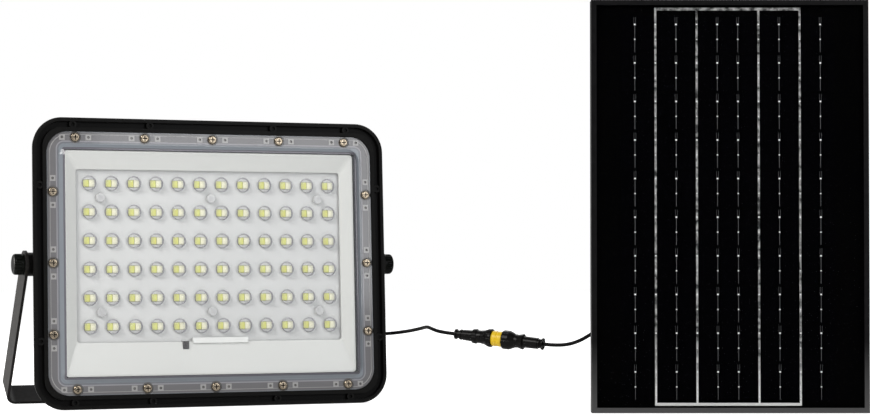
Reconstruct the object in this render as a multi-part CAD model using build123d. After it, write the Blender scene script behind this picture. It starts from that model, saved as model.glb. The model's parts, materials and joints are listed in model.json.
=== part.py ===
from build123d import *
from math import atan, cos, degrees, radians, sin, tan
import os

# Solar flood light: a lamp head on a tilting U bracket, joined by a short lead with a
# screw-ring plug to a framed solar panel that stands on a hinged prop leg.
# Row frame: millimetres, +Z up, X along the pair (lamp on -X, panel on +X), Y front to back.
# Lamp parts are drawn in the lamp's own frame: X across, Z up the face, Y back from the rim.

# --- lamp: driving dimensions -------------------------------------------------------------
lamp_width = 323.0
lamp_height = 254.0
rim_corner = 26.0
rim_width = 12.0             # black rim around the clear cover
skirt_depth = 12.0           # rim side, slight draft
skirt_inset, back_inset = 1.8, 5.7   # how far the sides draw in over the skirt and behind it
tray_depth = 26.0            # face to the housing's back wall
wall = 3.0
cover_recess = 4.2           # depth of the ledge that carries the clear cover
lamp_x, lamp_y = -184.0, -35.8
lamp_yaw = 22.0              # the face is turned towards +X
lamp_lean = 3.5              # the face leans back
channel_inset, channel_width, channel_depth = 3.4, 5.2, 4.0
boss_inset = channel_inset + channel_width / 2
rim_boss_radius, rim_boss_hole = 3.3, 1.7
seal_inset, seal_width, seal_corner, seal_thick = 23.5, 2.5, 10.0, 1.6

cover_thick = 2.6
cover_front = 1.2            # flange's front face, behind the rim
window_front = -1.6          # raised window's front face
bevel_outer_inset, bevel_inner_inset = 22.5, 27.0
cover_screw_inset = 17.3
cover_screw_pitch = 62.0
pad_offset = 11.7            # moulded pads beside each cover screw

led_pitch_x, led_pitch_z = 20.1, 25.2
led_columns, led_rows = 12, 6
led_centre_x, led_centre_z = 1.0, 7.7
peg_levels = (-42.7, 58.1)
dome_radius, dome_height, dome_wall = 6.7, 4.6, 0.8
chip_width, chip_height, chip_thick, chip_offset = 4.7, 6.2, 1.2, 2.55
plate_width, plate_height, plate_centre_z = 244.0, 152.2, 6.7
tray_front, tray_plate_level, tray_skin = 4.8, 10.0, 1.6
lens_level, lens_thick = 11.6, 1.8
board_level, board_thick = 13.6, 1.6
receiver_x, receiver_z = -24.7, -72.3
level_bar_x, level_bar_z, level_bar_width, level_bar_height = 7.1, -68.2, 50.6, 4.8
level_led_pitch = 11.2
spreader_thick = 1.5

box_width, box_height, box_corner = 236.0, 156.0, 12.0   # electronics box on the back
box_back = 50.0
box_wall = 3.2
gasket_thick = 1.0
rear_cover_thick = 3.0

# --- tilting bracket, knobs and pivots ----------------------------------------------------
pivot_back = 21.0            # pivot axis behind the face
pivot_radius = 3.0
bolt_root, bolt_tip = 148.0, 173.0     # ends of each pivot bolt from the lamp's middle
running_gap = 0.06           # radial clearance on pins
strip_width, strip_thick = 24.0, 2.5
bend_radius = 9.0
bracket_stand_angle = 35.0   # arms from vertical when the lamp stands on the bracket
boss_radius, boss_face = 10.3, 162.6
washer_thick = 0.8
side_gap = 0.3
knob_radius, knob_length = 9.2, 9.0

# --- cable and plug -------------------------------------------------------------------------
cable_diameter = 3.2
gland_z, gland_back = -64.0, 36.0      # in the lamp's frame
gland_end = 141.0
plug_start = Vector(29.9, -29.8, 63.6)
plug_end = Vector(106.4, -60.8, 55.7)
lamp_lead_route = [
    (-65.3, 46.7, 60.8), (-46.9, 54.1, 60.5), (-27.8, 54.5, 61.4), (-11.3, 44.5, 64.0),
    (-0.7, 27.5, 66.9), (4.3, 7.5, 68.9), (7.5, -11.1, 68.2), (15.6, -24.0, 65.1), (29.9, -29.8, 63.6),
]
panel_lead_route = [
    (106.4, -60.8, 55.7), (119.5, -66.1, 54.3), (135.3, -72.1, 57.5), (149.7, -78.7, 66.6),
    (164.3, -88.1, 75.6), (178.3, -100.7, 83.2), (186.7, -113.7, 96.0), (187.7, -117.3, 114.0),
]

# --- solar panel ------------------------------------------------------------------------------
panel_width, panel_height, panel_depth = 235.0, 350.0, 17.0
panel_left, panel_front = 144.1, -129.8
panel_mid = panel_left + panel_width / 2
rail_wall, lip_reach, lip_thick = 1.6, 4.4, 1.3
laminate_thick = 4.0
rail_flange = 11.0
glass_thick, cell_thick, ribbon_thick = 2.5, 0.3, 0.15
cell_count, cell_pitch, cell_gap, cell_width = 10, 32.75, 1.0, 182.0
cell_field_x, cell_field_bottom = -1.6, 9.7
busbar_pitch = 17.5
ribbon_lines = (-3.5, -1.5, 1.5, 3.5)   # busbars that carry a flat ribbon, in pitches
ribbon_width = 1.7
bus_strip_width = 2.4
bus_strip_above, bus_strip_below = 5.2, 2.5    # strips' centre lines beyond the cell field

bar_height, bar_width, bar_thick = 222.0, 25.0, 2.0
hinge_back = 32.0            # prop hinge axis behind the panel's front
wing_centre, wing_height = 7.2, 8.5     # wings swing clear of the cross bar
prop_angle = 25.0            # prop leg from vertical when the panel stands
prop_width, prop_thick = 32.0, 2.0
foot_length, foot_width, foot_thick = 46.0, 64.0, 2.5
foot_hole_radius, foot_hole_x, foot_hole_y = 2.6, 48.0, 26.0
junction_x, junction_z = 202.7, 160.0
junction_width, junction_height, junction_depth = 62.0, 52.0, 14.0
junction_gland_x, junction_gland_y = 187.7, -117.3
junction_gland_end = 114.0

nodes = {}


# --- helpers: everything in the lamp's frame is drawn on planes parallel to its face ---------
def at_depth(depth):
    return Plane.XZ.offset(-depth)


def slab(width, height, corner, front, back, centre_z=0.0):
    outline = at_depth(front) * Pos(0, centre_z) * RectangleRounded(width, height, corner)
    return extrude(outline, amount=front - back)


def tapered(width, height, corner, start, end, inset):
    """Slab from depth start to depth end that is inset by the given amount all round at its end."""
    facing = 1 if end > start else -1
    plane = Plane(origin=(0, start, 0), x_dir=(1, 0, 0), z_dir=(0, facing, 0))
    draft = degrees(atan(inset / abs(end - start)))
    return extrude(plane * RectangleRounded(width, height, corner), amount=abs(end - start), taper=draft)


def funnel(front_size, front, back_size, back):
    """Solid between the tray's window and the lens plate's opening, which sits off centre."""
    near = at_depth(front) * RectangleRounded(*front_size)
    far = at_depth(back) * Pos(0, plate_centre_z) * RectangleRounded(*back_size)
    return loft([near, far])


def face_ring(inset, width, corner, front, back):
    """Rounded ring concentric with the lamp's face, its outer edge at the given inset."""
    outer, inner = 2 * inset, 2 * (inset + width)
    return (slab(lamp_width - outer, lamp_height - outer, corner, front, back)
            - slab(lamp_width - inner, lamp_height - inner, corner - width, front, back))


def post(x, z, radius, front, back):
    return extrude(at_depth(front) * Pos(x, z) * Circle(radius), amount=front - back)


def block(x, z, width, height, front, back):
    return Pos(x, (front + back) / 2, z) * Box(width, back - front, height)


def cross_rod(radius, start, end, depth=0.0, z=0.0):
    return Pos((start + end) / 2, depth, z) * Rot(0, 90, 0) * Cylinder(radius, abs(end - start))


def cut_all(body, tools):
    return body - list(tools)


def group(shapes):
    solids = []
    for shape in shapes:
        solids += shape.solids()
    return Compound(solids)


def turned(profile):
    return revolve(make_face(Plane.XZ * Polyline(*profile, close=True)), axis=Axis.Z)


def pan_screw(head_radius, head_height, shaft_radius, shaft_length):
    """Screw along Y, head towards -Y, seat of the head at the origin, cross recess."""
    head = post(0, 0, head_radius, -head_height, 0)
    head = fillet(head.edges().group_by(Axis.Y)[0], head_height * 0.6)
    arm = head_radius * 1.1
    recess = block(0, 0, arm, 0.9, -head_height - 1, -head_height + 1.3)
    recess += block(0, 0, 0.9, arm, -head_height - 1, -head_height + 1.3)
    return head + post(0, 0, shaft_radius, 0, shaft_length) - recess


# --- places shared by several lamp parts ------------------------------------------------------
screw_x = lamp_width / 2 - cover_screw_inset
screw_z = lamp_height / 2 - cover_screw_inset
row_screws = [(step * cover_screw_pitch, side * screw_z) for side in (-1, 1) for step in (-2, -1, 0, 1, 2)]
side_screws = [(side * screw_x, step * cover_screw_pitch) for side in (-1, 1) for step in (-1, 0, 1)]
cover_screw_places = row_screws + side_screws
pad_places = [(x + way * pad_offset, z) for x, z in row_screws for way in (-1, 1)]
pad_places += [(x, z + way * pad_offset) for x, z in side_screws for way in (-1, 1)]
boss_x = lamp_width / 2 - boss_inset
boss_z = lamp_height / 2 - boss_inset
boss_places = [(x, side * boss_z) for side in (-1, 1) for x in (-126, -57, 57, 126)]
boss_places += [(side * boss_x, z) for side in (-1, 1) for z in (-67.7, 67.7)]
led_places = [
    (led_centre_x + (column - (led_columns - 1) / 2) * led_pitch_x,
     led_centre_z + (row - (led_rows - 1) / 2) * led_pitch_z)
    for row in range(led_rows) for column in range(led_columns)
]
level_led_places = [level_bar_x + step * level_led_pitch for step in range(-2, 3)]
peg_places = [(led_centre_x + step * led_pitch_x, z) for step in (-5, 0, 5) for z in peg_levels]
spreader_screw_places = [(x, z) for x in (-126, 126) for z in (-91, 91)]
rear_screw_places = [(x, z) for x in (-111, 0, 111) for z in (-71, 71)]
lamp_z = lamp_height / 2 * cos(radians(lamp_lean)) + sin(radians(lamp_lean))
lamp_place = Pos(lamp_x, lamp_y, lamp_z) * Rot(0, 0, lamp_yaw) * Rot(-lamp_lean, 0, 0)
board_back = board_level + board_thick
spreader_back = board_back + spreader_thick
cover_back = box_back + gasket_thick + rear_cover_thick


# --- lamp housing -----------------------------------------------------------------------------
def rear_housing():
    body = tapered(lamp_width, lamp_height, rim_corner, 1, 0, 1)
    body += tapered(lamp_width, lamp_height, rim_corner, 1, skirt_depth, skirt_inset)
    narrow = 2 * skirt_inset
    body += tapered(lamp_width - narrow, lamp_height - narrow, rim_corner - skirt_inset, skirt_depth,
                    tray_depth, back_inset)
    body += slab(box_width, box_height, box_corner, tray_depth - 1, box_back)
    for side in (-1, 1):
        body += cross_rod(boss_radius, side * 146, side * boss_face, pivot_back)
    # seat of the clear cover, then the hollow behind it
    body -= slab(lamp_width - 2 * rim_width, lamp_height - 2 * rim_width, 19, -1, cover_recess)
    body -= slab(lamp_width - 56, lamp_height - 56, 4, 0, 9)
    body -= slab(lamp_width - 27, lamp_height - 27, 13, 9, tray_depth - wall)
    body -= slab(box_width - 2 * box_wall, box_height - 2 * box_wall, box_corner - box_wall, 20, box_back + 1)
    # seal groove and the recessed channel in the rim
    body -= face_ring(seal_inset, seal_width, seal_corner, cover_recess - 1, cover_recess + seal_thick)
    body -= face_ring(channel_inset, channel_width, rim_corner - channel_inset, -1, channel_depth)
    body += [post(x, z, rim_boss_radius, 0.5, channel_depth + 0.5) for x, z in boss_places]
    body += [post(x, z, 4.2, 8.5, tray_depth - 2) for x, z in cover_screw_places]
    body += [post(x, z, 5.0, spreader_back, tray_depth - 2) for x, z in spreader_screw_places]
    body += [post(x, z, 4.2, tray_depth - 2, box_back) for x, z in rear_screw_places]
    # cooling ribs beside and above the electronics box
    ribs = [block(side * x, 0, 2.2, 190, tray_depth - 1, tray_depth + 8)
            for side in (-1, 1) for x in (124, 132, 140, 148)]
    ribs += [block(10.0 * step, side * 97, 2.2, 30, tray_depth - 1, tray_depth + 8)
             for side in (-1, 1) for step in range(-11, 12)]
    gland_room = block(139, gland_z, 42, 30, tray_depth, box_back)
    body += [rib - gland_room for rib in ribs]
    # holes: rim bosses, cover screws, spreader screws, rear cover screws, pivot bolts, cable gland
    body = cut_all(body, [post(x, z, rim_boss_hole, 0, 2.2) for x, z in boss_places])
    body = cut_all(body, [post(x, z, 1.9, 3, 18) for x, z in cover_screw_places])
    body = cut_all(body, [post(x, z, 1.5, spreader_back - 1, 22) for x, z in spreader_screw_places])
    body = cut_all(body, [post(x, z, 1.5, 40, box_back + 1) for x, z in rear_screw_places])
    body = cut_all(body, [cross_rod(pivot_radius, side * bolt_root, side * (boss_face + 1), pivot_back)
                          for side in (-1, 1)])
    return body - cross_rod(5.5, box_width / 2 - 6, box_width / 2 + 2, gland_back, gland_z)


def front_cover():
    flange = slab(lamp_width - 2 * rim_width - 0.6, lamp_height - 2 * rim_width - 0.6, 18.7, cover_front,
                  cover_recess)
    base = 2 * bevel_outer_inset
    rise = bevel_inner_inset - bevel_outer_inset
    flange += tapered(lamp_width - base, lamp_height - base, 12.5, cover_front + 0.5, window_front, rise)
    shrink = base + 2 * cover_thick
    flange -= tapered(lamp_width - shrink, lamp_height - shrink, 10, cover_recess + 0.5,
                      window_front + cover_thick, rise)
    # two fine ridges run round the screw band, and a pad sits each side of every screw
    for inset in (14.4, 20.6):
        flange += face_ring(inset, 0.7, 17, cover_front - 0.35, cover_front)
    flange = cut_all(flange, [post(x, z, 5.25, cover_front - 1, cover_front + 0.8)
                              for x, z in cover_screw_places])
    flange = cut_all(flange, [post(x, z, 2.0, cover_front, 5) for x, z in cover_screw_places])
    flange += [block(x, z, 5.2, 5.2, cover_front - 0.3, cover_front + 0.1) for x, z in pad_places]
    return cut_all(flange, [post(x, z, 1.2, cover_front - 1, cover_front + 1.4) for x, z in pad_places])


def cover_seal():
    return face_ring(seal_inset, seal_width, seal_corner, cover_recess, cover_recess + seal_thick)


def cover_screws():
    screw = pan_screw(4.0, 2.4, 1.85, 9.5)
    return group([Pos(x, cover_front + 0.8, z) * screw for x, z in cover_screw_places])


def reflector_tray():
    """White tray: a thin rim outside and a skin that slopes in to the lens plate."""
    outer = slab(266.4, 197.4, 3, tray_front, 12)
    rim_hollow = slab(263.2, 194.2, 2, tray_front - 1, 13)
    skin = funnel((263.6, 194.6, 3), tray_front + tray_skin, (plate_width, plate_height, 3), lens_level)
    skin += slab(263.6, 194.6, 3, tray_front, tray_front + tray_skin)
    skin -= funnel((263.6, 194.6, 3), tray_front, (plate_width, plate_height, 3), tray_plate_level)
    skin -= slab(plate_width, plate_height, 3, tray_plate_level, lens_level + 0.1, plate_centre_z)
    tray = (outer - rim_hollow) + skin
    tray -= block(receiver_x, receiver_z, 5.6, 7.2, 0, 13)
    return tray - block(level_bar_x, level_bar_z, level_bar_width + 0.2, level_bar_height + 0.2, 0, 13)


def lens_plate():
    plate = slab(plate_width + 4, plate_height + 4, 3, lens_level, lens_level + lens_thick, plate_centre_z)
    ball = (dome_radius ** 2 + dome_height ** 2) / (2 * dome_height)
    above = Pos(0, lens_level - 5, 0) * Box(20, 10, 20)
    centre = lens_level - dome_height + ball
    dome = (Pos(0, centre, 0) * Sphere(ball)) & above
    hollow = post(0, 0, dome_radius - dome_wall, lens_level, lens_level + lens_thick)
    inner = ((Pos(0, centre + dome_wall, 0) * Sphere(ball)) & above) + hollow
    plate += [Pos(x, 0, z) * dome for x, z in led_places]
    plate = cut_all(plate, [Pos(x, 0, z) * inner for x, z in led_places])
    plate -= block(receiver_x, receiver_z + 1.3, 5.6, 6.0, 0, 20)
    return cut_all(plate, [post(x, z, 1.7, 5, 20) for x, z in peg_places])


def lens_pegs():
    head = fillet(post(0, 0, 4.2, lens_level - 1.8, lens_level).edges().group_by(Axis.Y)[0], 1.0)
    peg = head + post(0, 0, 1.6, lens_level, spreader_back + 2) + post(0, 0, 2.2, spreader_back,
                                                                      spreader_back + 1.6)
    return group([Pos(x, 0, z) * peg for x, z in peg_places])


def led_board():
    board = slab(plate_width + 4, plate_height + 4, 3, board_level, board_back, plate_centre_z)
    return cut_all(board, [post(x, z, 1.7, 5, 20) for x, z in peg_places])


def led_chips(side):
    """One phosphor pad of each lamp position: -1 the cool pads, +1 the warm pads."""
    top = board_level - chip_thick
    return group([block(x + side * chip_offset, z, chip_width, chip_height, top, board_level)
                  for x, z in led_places])


def heat_spreader():
    plate = slab(264, 195, 4, board_back, spreader_back)
    plate = cut_all(plate, [post(x, z, 1.7, 10, 20) for x, z in peg_places])
    return cut_all(plate, [post(x, z, 1.6, 10, 20) for x, z in spreader_screw_places])


def ir_receiver():
    """Remote-control receiver: a square body with a half-round lens, in the tray's lower slope."""
    body = block(receiver_x, receiver_z, 5.4, 7.0, 8.4, board_level)
    return body + Pos(receiver_x, 8.4, receiver_z + 0.6) * Cylinder(2.0, 4.4)


def level_light_bar():
    bar = block(level_bar_x, level_bar_z, level_bar_width, level_bar_height, 7.8, lens_level)
    return cut_all(bar, [post(x, level_bar_z, 1.6, 9.0, 12) for x in level_led_places])


def level_leds():
    return group([block(x, level_bar_z, 1.8, 1.6, 9.4, lens_level) for x in level_led_places])


# --- electronics in the back box --------------------------------------------------------------
def battery_cells():
    """Four cells side by side, joined in pairs by welded nickel tabs."""
    cell = cross_rod(9.1, -32.4, 32.4) + cross_rod(3.0, 32.3, 33.4)
    pack = [Pos(-58, spreader_back + 12.6, 20 * (row - 1.5)) * cell for row in range(4)]
    for side in (-1, 1):
        level = 32.4 if side < 0 else 33.4
        pack += [block(-58 + side * (level + 0.3), 20 * pair, 0.6, 30, spreader_back + 8, spreader_back + 17)
                 for pair in (-1, 1)]
    return group(pack)


def battery_holder():
    base = block(-58, 0, 76, 84, spreader_back, spreader_back + 2.4)
    for side in (-1, 1):
        base += block(-58 + side * 36.5, 0, 3, 84, spreader_back, spreader_back + 18)
    for row in range(-2, 3):
        base += block(-58, 20 * row, 62, 1.0, spreader_back, spreader_back + 9)
    return base


board_x, board_z = 52.0, 12.0
spacer_places = [(board_x + x, board_z + z) for x in (-36, 36) for z in (-26, 26)]
circuit_level = 38.0


def control_board():
    board = block(board_x, board_z, 80, 60, circuit_level, circuit_level + 1.6)
    return cut_all(board, [post(x, z, 1.6, 30, 45) for x, z in spacer_places])


def board_components():
    chips = [block(board_x + x, board_z + z, w, h, circuit_level - tall, circuit_level)
             for x, z, w, h, tall in ((-8, 10, 12, 12, 2), (14, 12, 8, 6, 2), (-22, -10, 16, 9, 9),
                                      (24, -8, 14, 12, 6), (4, -16, 10, 7, 8))]
    chips += [post(board_x + x, board_z + z, 5, circuit_level - 12, circuit_level)
              for x, z in ((-26, 12), (30, 14))]
    return group(chips)


def spreader_hardware():
    """Screws that hold the heat spreader, and the spacers that carry the control board on it."""
    screw = pan_screw(2.8, 1.8, 1.45, 6)
    spacer = post(0, 0, 3.0, spreader_back, circuit_level)
    spacer += post(0, 0, 1.5, circuit_level, circuit_level + 3.4)
    screws = [Pos(x, board_back, z) * screw for x, z in spreader_screw_places]
    return group(screws + [Pos(x, 0, z) * spacer for x, z in spacer_places])


def rear_gasket():
    gasket = (slab(box_width - 0.6, box_height - 0.6, box_corner, box_back, box_back + gasket_thick)
              - slab(box_width - 6, box_height - 6, box_corner - 3, box_back, box_back + gasket_thick))
    return cut_all(gasket, [post(x, z, 4.2, box_back - 1, box_back + 2) for x, z in rear_screw_places])


button_x, button_z, button_radius = -70.0, -48.0, 7.9


def rear_cover():
    front = box_back + gasket_thick
    cover = slab(box_width, box_height, box_corner, front, cover_back)
    cover = chamfer(cover.faces().sort_by(Axis.Y)[-1].edges(), 1.2)
    # screw bosses reach through the gasket to the housing's posts
    cover += [post(x, z, 4.1, box_back, front + 0.5) for x, z in rear_screw_places]
    cover += [block(8 * step, 22, 2.2, 66, cover_back - 0.5, cover_back + 3) for step in range(-11, 12)]
    cover = cut_all(cover, [post(x, z, 1.7, box_back - 1, cover_back + 1) for x, z in rear_screw_places])
    cover = cut_all(cover, [post(x, z, 3.7, cover_back - 1.4, cover_back + 1) for x, z in rear_screw_places])
    return cover - post(button_x, button_z, button_radius + side_gap, front - 1, cover_back + 1)


def rear_cover_screws():
    screw = Rot(0, 0, 180) * pan_screw(3.4, 2.0, 1.45, 10)
    return group([Pos(x, cover_back - 1.4, z) * screw for x, z in rear_screw_places])


def button_bezel():
    ring = post(button_x, button_z, 11.5, cover_back, cover_back + 2.6)
    ring = chamfer(ring.edges().group_by(Axis.Y)[-1], 1.0)
    return ring - post(button_x, button_z, button_radius + side_gap, cover_back - 1, cover_back + 4)


def power_button():
    cap = post(button_x, button_z, button_radius, box_back + 0.4, cover_back + 4.2)
    cap = fillet(cap.edges().group_by(Axis.Y)[-1], 1.4)
    return cap - (post(button_x, button_z, 3.2, cover_back + 3.8, cover_back + 5)
                  - post(button_x, button_z, 2.4, cover_back + 3.7, cover_back + 5))


def button_switch():
    base = block(button_x, button_z, 15, 15, 41, 46.4)
    return base + post(button_x, button_z, 2.2, 46.4, 48.6)


# --- cable gland, pivots, bracket and knobs ---------------------------------------------------
def along_gland(profile):
    """Turned part on the gland's axis; the profile's lengths are measured along the lamp's X."""
    return Pos(0, gland_back, gland_z) * Rot(0, 90, 0) * turned(profile)


wall_face = box_width / 2
hole = cable_diameter / 2


def gland_body():
    barrel = along_gland([(hole, wall_face - box_wall), (5.5, wall_face - box_wall), (5.5, wall_face + 8),
                          (hole, wall_face + 8)])
    lock = Pos(wall_face + 1.75, gland_back, gland_z) * Rot(0, 90, 0) * Rot(0, 0, 30) * extrude(
        RegularPolygon(8.0, 6), amount=1.75, both=True)
    return barrel + (lock - cross_rod(5.4, wall_face - 1, wall_face + 5, gland_back, gland_z))


def gland_nut():
    nut = along_gland([(5.5, wall_face + 3.6), (7.2, wall_face + 3.6), (7.2, wall_face + 12),
                       (6.3, wall_face + 16), (4.4, wall_face + 19), (2.9, gland_end), (0, gland_end),
                       (0, wall_face + 8.1), (5.5, wall_face + 8.1)])
    groove = cross_rod(0.9, wall_face + 3, wall_face + 13, 7.6)
    grooves = [Pos(0, gland_back, gland_z) * Rot(30 * turn, 0, 0) * groove for turn in range(12)]
    return cut_all(nut, grooves)


def pivot_bolts():
    return group([cross_rod(pivot_radius, side * bolt_root, side * bolt_tip, pivot_back) for side in (-1, 1)])


def pivot_washers():
    washers = []
    for side in (-1, 1):
        disc = cross_rod(10.6, side * boss_face, side * (boss_face + washer_thick), pivot_back)
        disc -= cross_rod(pivot_radius, side * 160, side * 170, pivot_back)
        notches = [Pos(0, pivot_back, 0) * Rot(20 * turn, 0, 0) * cross_rod(0.9, side * 160, side * 170, 10.9)
                   for turn in range(18)]
        washers.append(cut_all(disc, notches))
    return group(washers)


arm_inner = boss_face + washer_thick + side_gap
arm_outer = arm_inner + strip_thick
pivot_height = lamp_z - pivot_back * sin(radians(lamp_lean))
arm_length = (pivot_height - strip_width / 2 * sin(radians(bracket_stand_angle))) / cos(radians(
    bracket_stand_angle))
bracket_place = lamp_place * Pos(0, pivot_back, 0) * Rot(bracket_stand_angle + lamp_lean, 0, 0)


def lamp_bracket():
    """U of flat strip, drawn hanging straight down from the pivot axis."""
    outer = Pos(0, -arm_length / 2) * Rectangle(2 * arm_outer, arm_length)
    outer = fillet(outer.vertices().group_by(Axis.Y)[0], bend_radius)
    clear_length = arm_length - strip_thick
    inner = Pos(0, -clear_length / 2) * Rectangle(2 * arm_inner, clear_length)
    inner = fillet(inner.vertices().group_by(Axis.Y)[0], bend_radius - strip_thick)
    strip = extrude(Plane.XZ * (outer - inner), amount=strip_width / 2, both=True)
    for side in (-1, 1):
        strip += cross_rod(strip_width / 2, side * arm_inner, side * arm_outer)
    strip = cut_all(strip, [cross_rod(pivot_radius + running_gap, side * 160, side * 170)
                            for side in (-1, 1)])
    base_holes = [Pos(x, 0, -arm_length) * Cylinder(radius, 20) for x, radius in base_hole_list]
    return cut_all(strip, base_holes)


base_hole_list = [(-60, 3.2), (0, 4.25), (60, 3.2)]


def knob(side):
    """Scalloped hand knob with a rounded outer end; side is -1 on the left and +1 on the right."""
    inner = arm_outer + side_gap
    grip = cross_rod(knob_radius, side * inner, side * (inner + knob_length), pivot_back)
    rims = grip.edges().filter_by(GeomType.CIRCLE).sort_by(Axis.X)
    grip = fillet(rims[0] if side < 0 else rims[-1], 2.6)
    grip = cut_all(grip, [Pos(0, pivot_back, 0) * Rot(30 * turn, 0, 0)
                          * cross_rod(1.5, side * (inner + 2.2), side * (inner + 12), knob_radius + 0.7)
                          for turn in range(12)])
    return grip - cross_rod(pivot_radius + running_gap, side * (inner - 1), side * (bolt_tip + 0.4), pivot_back)


# --- plug and socket on the lead --------------------------------------------------------------
# Turned parts are drawn along Z from the lamp-side end (0) to the panel-side end (plug_length).
plug_axis = (plug_end - plug_start).normalized()
plug_length = (plug_end - plug_start).length
plug_place = Location(Plane(origin=plug_start, z_dir=plug_axis))
nose_radius = 4.6


def plug_cable_nut():
    return turned([(0, 0), (4.5, 0), (4.5, 1.6), (3.6, 1.9), (3.6, 4.8), (4.6, 4.9), (4.6, 6.4), (4.0, 6.8),
                   (4.0, 8.0), (0, 8.0)])


def plug_body():
    body = turned([(0, 8.0), (4.7, 8.0), (5.0, 16.5), (6.3, 17.2), (6.6, 20.4), (5.7, 21.4), (5.7, 24.8),
                   (nose_radius, 24.8), (nose_radius, 51.5), (0, 51.5)])
    grooves = [Rot(0, 0, 60 * turn) * Pos(6.9, 0, 18.8) * Cylinder(0.9, 5) for turn in range(6)]
    pin_holes = [Pos(x, 0, 47.5) * Cylinder(0.8, 8.1) for x in (-2, 2)]
    return cut_all(body, grooves + pin_holes)


def plug_pins():
    return group([Pos(x, 0, 50.5) * Cylinder(0.8, 14) for x in (-2, 2)])


def connector_seal():
    return turned([(nose_radius, 35.6), (6.5, 35.6), (6.75, 36.4), (6.75, 39.6), (6.3, 40.0), (6.3, 40.8),
                   (6.75, 41.2), (6.75, 44.4), (6.5, 45.2), (nose_radius, 45.2)])


def coupling_ring():
    ring = turned([(nose_radius + running_gap, 25.1), (5.9, 25.1), (6.2, 28.0), (7.9, 31.8), (8.1, 33.0),
                   (8.1, 34.6), (7.6, 35.3), (nose_radius + running_gap, 35.3)])
    return cut_all(ring, [Rot(0, 0, 30 * turn) * Pos(8.6, 0, 32) * Cylinder(1.0, 12) for turn in range(12)])


def socket_body():
    body = turned([(nose_radius + running_gap, 45.5), (7.9, 45.5), (8.35, 46.3), (8.35, 51.4), (7.6, 53.4),
                   (6.0, 57.0), (5.8, 59.6), (6.2, 61.2), (6.9, 64.4), (6.2, 65.0), (5.1, 65.4), (4.9, 78.0),
                   (0, 78.0), (0, 52.2), (nose_radius + running_gap, 52.2)])
    grooves = [Rot(0, 0, 45 * turn) * Pos(8.9, 0, 49.5) * Cylinder(1.0, 12) for turn in range(8)]
    sockets = [Pos(x, 0, 57.2) * Cylinder(1.5, 10.1) for x in (-2, 2)]
    return cut_all(body, grooves + sockets)


def socket_contacts():
    sleeve = Cylinder(1.5, 10) - Pos(0, 0, -1) * Cylinder(0.8 + running_gap, 10)
    return group([Pos(x, 0, 57.25) * sleeve for x in (-2, 2)])


def socket_cable_nut():
    """Nut with a dished end flange; the cable meets the boss in the middle of the dish."""
    dish = plug_length - 0.8
    return turned([(0, 78.0), (4.2, 78.0), (4.2, 79.6), (3.7, 80.0), (4.0, 80.8), (5.3, 82.2),
                   (5.3, plug_length), (4.6, plug_length), (4.2, dish), (2.4, dish), (2.4, plug_length),
                   (0, plug_length)])


# --- leads --------------------------------------------------------------------------------------
def lead(name, route):
    """Round cable along straight runs joined by tangent arcs as large as the runs allow."""
    points = [Vector(*point) for point in route]
    radii = []
    for before, here, after in zip(points, points[1:], points[2:]):
        turn = (here - before).get_angle(after - here)
        shorter = min((here - before).length, (after - here).length)
        radii.append(0.45 * shorter / tan(radians(turn / 2)))
    path = FilletPolyline(*points, radius=radii)
    section = Plane(origin=path @ 0, z_dir=path % 0) * Circle(cable_diameter / 2)
    tube = sweep(section, path=path)
    expected = path.length * section.area
    print(name, "length", round(path.length, 1), "volume ratio", round(tube.volume / expected, 4),
          "radii", [round(radius) for radius in radii])
    return tube


# --- solar panel ----------------------------------------------------------------------------------
panel_place = Pos(panel_mid, panel_front, 0)


def rail(length):
    """Aluminium frame rail along X with mitred ends: outer edge at Z 0, front at Y 0."""
    profile = [(0, 0), (0, lip_reach), (lip_thick, lip_reach), (lip_thick, rail_wall),
               (lip_thick + laminate_thick, rail_wall), (lip_thick + laminate_thick, lip_reach + 2),
               (lip_thick + laminate_thick + 1.2, lip_reach + 2), (lip_thick + laminate_thick + 1.2, rail_wall),
               (panel_depth - 1.4, rail_wall), (panel_depth - 1.4, rail_flange), (panel_depth, rail_flange),
               (panel_depth, 0)]
    bar = extrude(Plane.YZ * make_face(Polyline(*profile, close=True)), amount=length / 2, both=True)
    reach = rail_flange + 2
    mitre = [(-length / 2, 0), (length / 2, 0), (length / 2 - reach, reach), (-length / 2 + reach, reach)]
    keep = extrude(at_depth(-1) * make_face(Polyline(*mitre, close=True)), amount=-panel_depth - 2)
    return bar & keep


def corner_keys():
    keys = []
    for x_side in (-1, 1):
        for z_side in (-1, 1):
            x = x_side * (panel_width / 2 - rail_wall)
            z = panel_height / 2 + z_side * (panel_height / 2 - rail_wall)
            long_leg = block(x - x_side * 13, z - z_side * 4, 26, 8, 7.0, 15.4)
            keys.append(long_leg + block(x - x_side * 4, z - z_side * 13, 8, 26, 7.0, 15.4))
    return group(keys)


glass_back = lip_thick + glass_thick
cell_front = glass_back + ribbon_thick
cell_back = cell_front + cell_thick
laminate_width = panel_width - 2 * rail_wall - 0.4
laminate_height = panel_height - 2 * rail_wall - 0.4


def panel_sheet(front, back):
    return block(0, panel_height / 2, laminate_width, laminate_height, front, back)


def solar_cells():
    cells = []
    for row in range(cell_count):
        middle = cell_field_bottom + (row + 0.5) * cell_pitch
        cells.append(block(cell_field_x, middle, cell_width, cell_pitch - cell_gap, cell_front, cell_back))
    return group(cells)


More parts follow.
